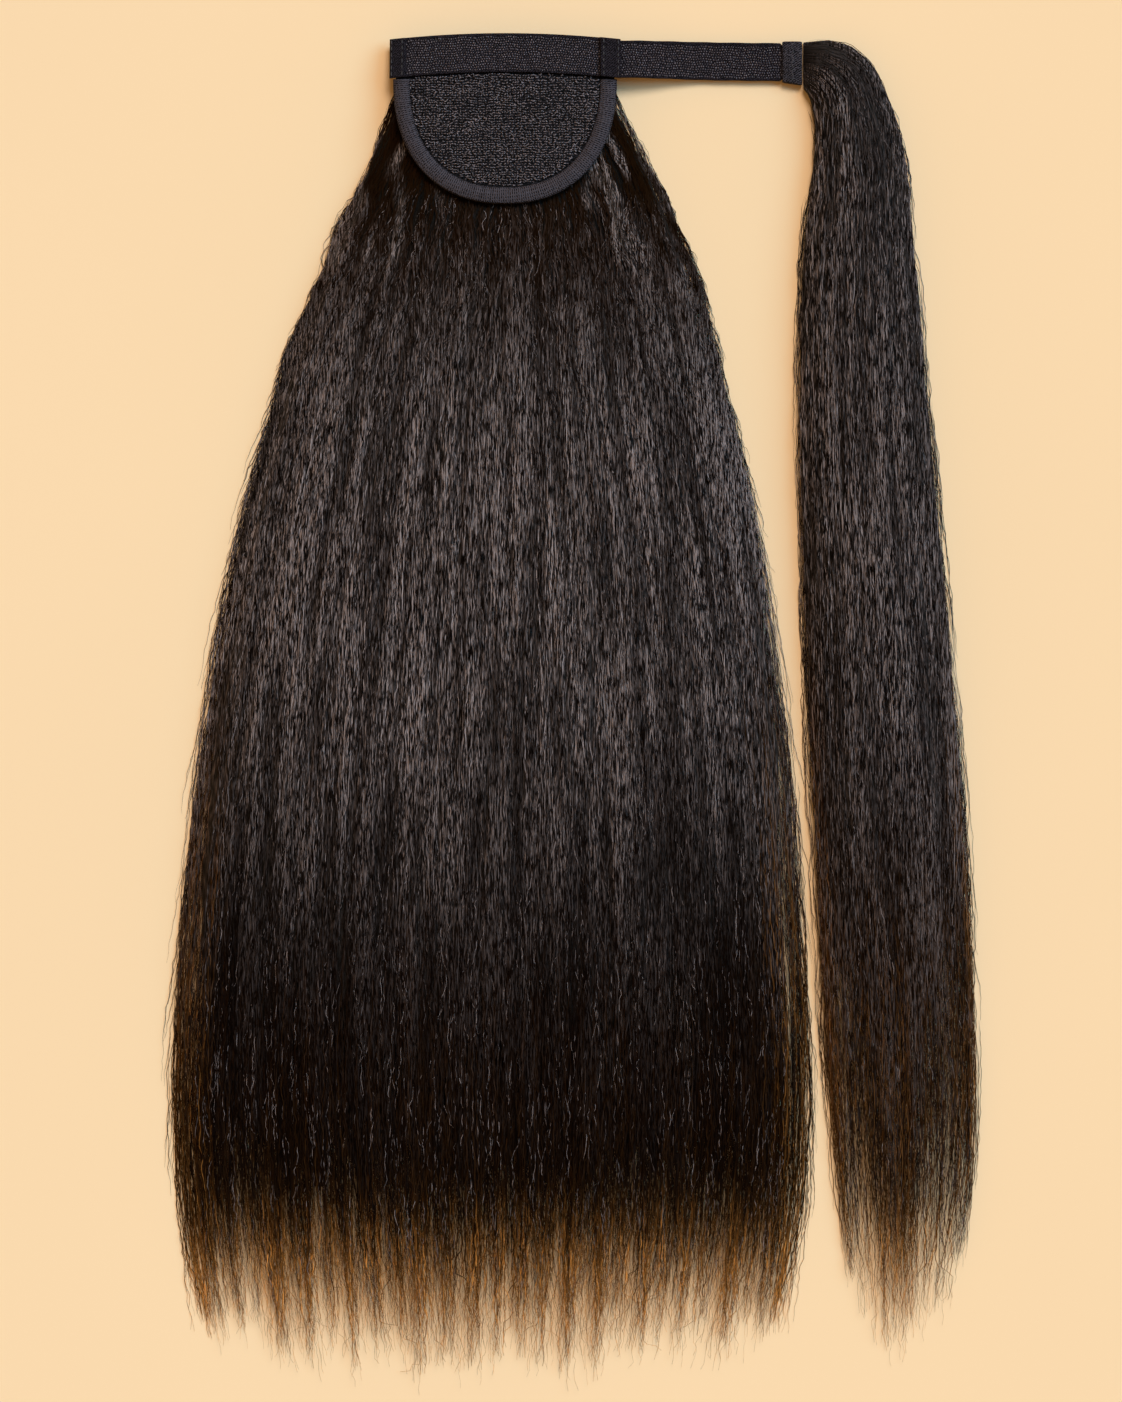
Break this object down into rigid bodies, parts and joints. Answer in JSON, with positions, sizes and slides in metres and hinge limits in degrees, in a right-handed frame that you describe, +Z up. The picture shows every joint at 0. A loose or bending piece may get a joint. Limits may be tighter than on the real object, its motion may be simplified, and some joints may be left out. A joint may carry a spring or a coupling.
{
  "type": "wrap-around ponytail hairpiece",
  "caption": "Long kinky-straight ponytail under a D-shaped loop patch, with a hook band and strap that ends in a tab holding a narrower strand to wrap round the base. It lies flat.",
  "frame": {"origin": "on the surface that the piece lies on, under the middle of its box", "axes": "+Y along the hair from the tips towards the patch, +X towards the wrap strand's side, +Z up, out of the face of the patch"},
  "size_m": [0.3338, 0.5618, 0.032],
  "materials": {
    "loop_cloth": "brushed loop pile",
    "binding_tape": "ribbed elastic tape",
    "hook_tape": "moulded hook tape with plain selvages",
    "hair": "satin, kinky-straight fibre"
  },
  "bodies": {
    "root": {"patch_field": "loop_cloth", "patch_binding": "binding_tape", "top_band": "hook_tape", "wrap_strap": "hook_tape", "strap_tab": "binding_tape", "ponytail_hair": "hair", "wrap_strand": "hair"}
  },
  "joints": []
}
